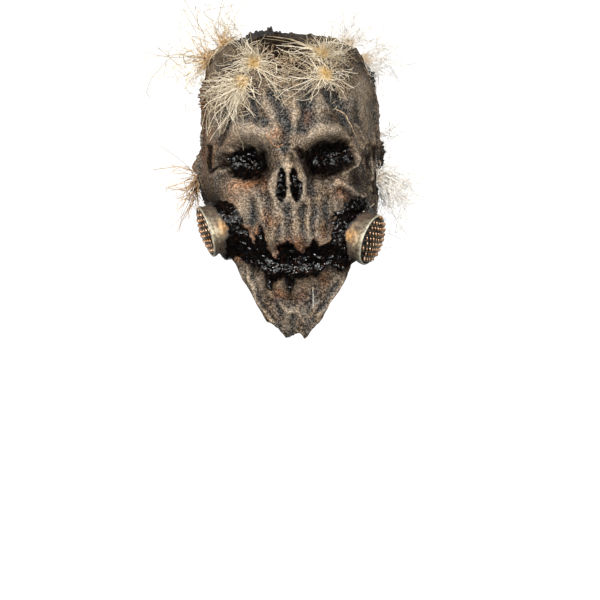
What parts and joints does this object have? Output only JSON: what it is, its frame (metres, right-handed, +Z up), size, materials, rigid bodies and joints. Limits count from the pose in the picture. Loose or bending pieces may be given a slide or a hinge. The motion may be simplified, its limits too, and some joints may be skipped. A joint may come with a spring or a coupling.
{
  "type": "scarecrow mask",
  "caption": "Over-the-head latex costume mask: a burlap-sack skull face with tarred eyes and mouth, cheek filter cans with copper mesh, and tufts of straw.",
  "frame": {"origin": "inside of the crown, where the wearer's head bears", "axes": "+Z up out of the crown, -Y the way the face looks, +X to the right as seen from in front of the face"},
  "size_m": [0.2842, 0.2347, 0.3373],
  "materials": {
    "latex_burlap": "matte painted latex cast with a burlap weave, gloss black in the eyes and mouth",
    "can_paint": "satin off-white paint with rust stains",
    "copper_mesh": "dull coppery mesh",
    "straw": "dry straw fibre"
  },
  "bodies": {
    "root": {"mask_shell": "latex_burlap", "filter_can_left": "can_paint", "filter_can_right": "can_paint", "filter_grille_left": "copper_mesh", "filter_grille_right": "copper_mesh", "straw_corner_left_top": "straw", "straw_corner_left": "straw", "straw_brow_left_upper": "straw", "straw_brow_left_lower": "straw", "straw_brow_right_upper": "straw", "straw_brow_right_lower": "straw", "straw_corner_right_top": "straw", "straw_corner_right": "straw", "straw_seam_right": "straw", "straw_ear_left": "straw", "straw_ear_right": "straw"}
  },
  "joints": []
}
